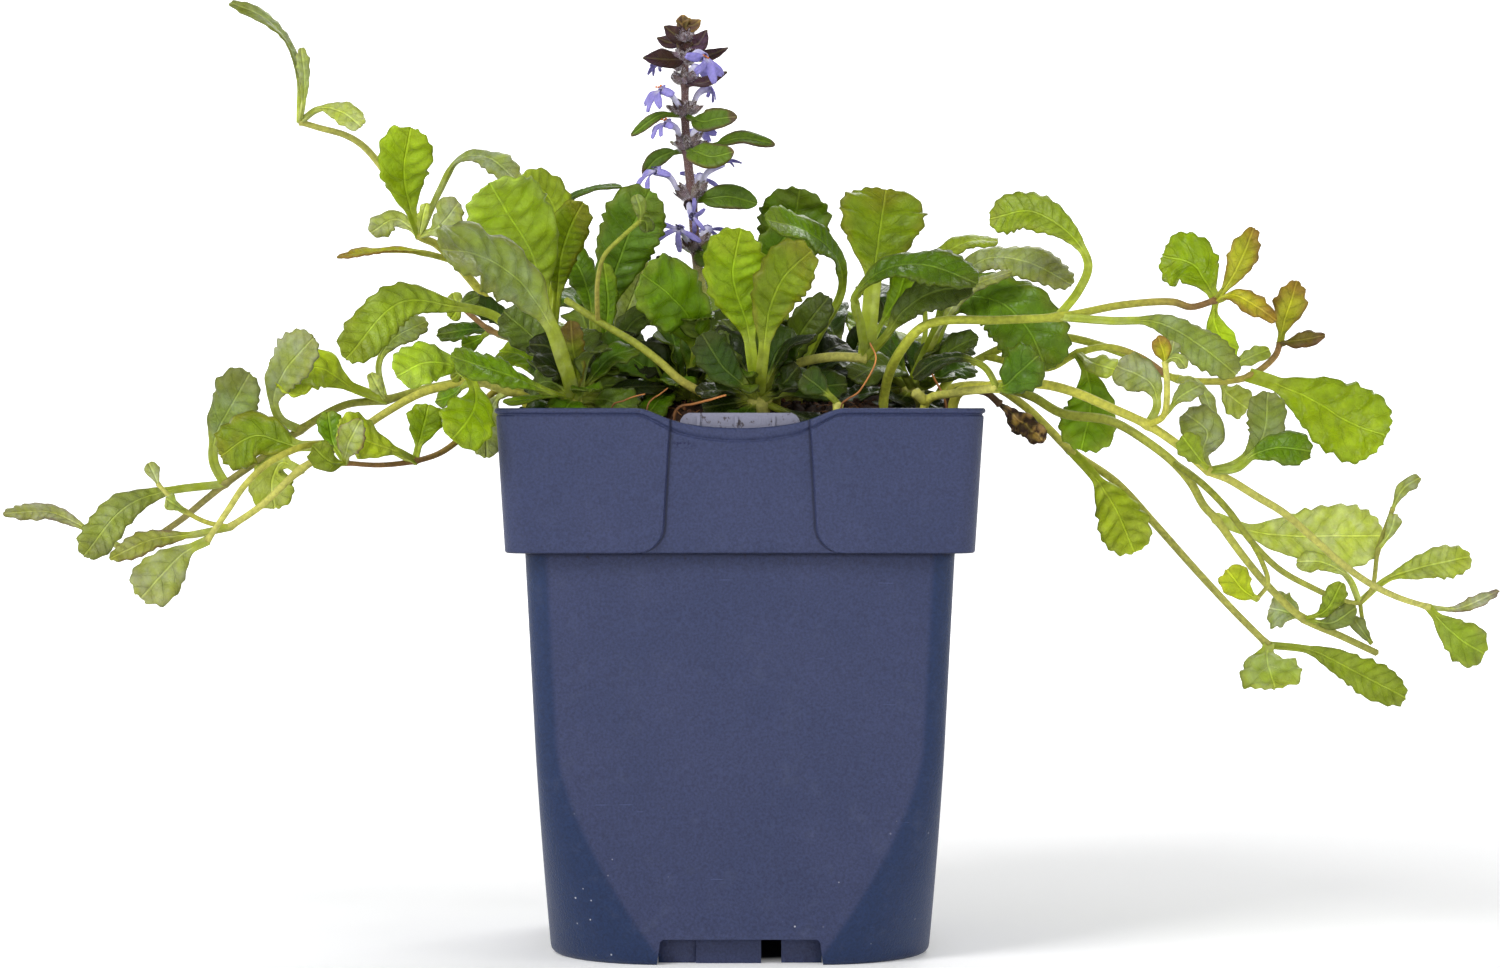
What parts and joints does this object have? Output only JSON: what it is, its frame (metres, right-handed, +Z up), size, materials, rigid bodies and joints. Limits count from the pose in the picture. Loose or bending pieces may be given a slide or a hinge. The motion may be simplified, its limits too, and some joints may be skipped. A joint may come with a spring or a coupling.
{
  "type": "potted bugleweed",
  "caption": "Bugleweed in a square nursery pot, with one flower spike, upright leaf rosettes and leafy runners that arch over the rim on both sides.",
  "frame": {"origin": "on the ground under the middle of the pot", "axes": "+Z up, -Y to the front of the pot where the label slot is, +X to the right as seen from the front"},
  "size_m": [0.3534, 0.159, 0.226],
  "materials": {
    "pot_plastic": "matte slate blue, fine grain",
    "peat_soil": "dark moist peat with root litter",
    "leaf_green": "half-gloss green with raised veins",
    "spike_skin": "hairy purple-brown and green",
    "petal_violet": "soft violet-blue",
    "straw_tan": "dry tan straw",
    "dead_leaf_brown": "dry dark brown with tan patches"
  },
  "bodies": {
    "root": {"corolla_1": "petal_violet", "corolla_10": "petal_violet", "corolla_11": "petal_violet", "corolla_12": "petal_violet", "corolla_13": "petal_violet", "corolla_2": "petal_violet", "corolla_3": "petal_violet", "corolla_4": "petal_violet", "corolla_5": "petal_violet", "corolla_6": "petal_violet", "corolla_7": "petal_violet", "corolla_8": "petal_violet", "corolla_9": "petal_violet", "dead_leaf": "dead_leaf_brown", "flower_spike": "spike_skin", "pot": "pot_plastic", "rosette_back_left": "leaf_green", "rosette_back_middle": "leaf_green", "rosette_back_right": "leaf_green", "rosette_centre": "leaf_green", "rosette_centre_back": "leaf_green", "rosette_centre_left": "leaf_green", "rosette_centre_right": "leaf_green", "rosette_left_front": "leaf_green", "rosette_left_middle": "leaf_green", "rosette_right": "leaf_green", "runner_back_left": "leaf_green", "runner_back_right": "leaf_green", "runner_front_rim": "leaf_green", "runner_high_left": "leaf_green", "runner_left_bright": "leaf_green", "runner_left_bud": "leaf_green", "runner_left_high": "leaf_green", "runner_left_low": "leaf_green", "runner_left_rim": "leaf_green", "runner_right_back": "leaf_green", "runner_right_bronze": "leaf_green", "runner_right_fan": "leaf_green", "runner_right_long": "leaf_green", "runner_right_low": "leaf_green", "runner_right_top": "leaf_green", "soil": "peat_soil", "stolon_cream": "leaf_green", "straw_1": "straw_tan", "straw_2": "straw_tan", "straw_3": "straw_tan", "straw_4": "straw_tan", "straw_5": "straw_tan", "young_leaf_front": "leaf_green"}
  },
  "joints": []
}
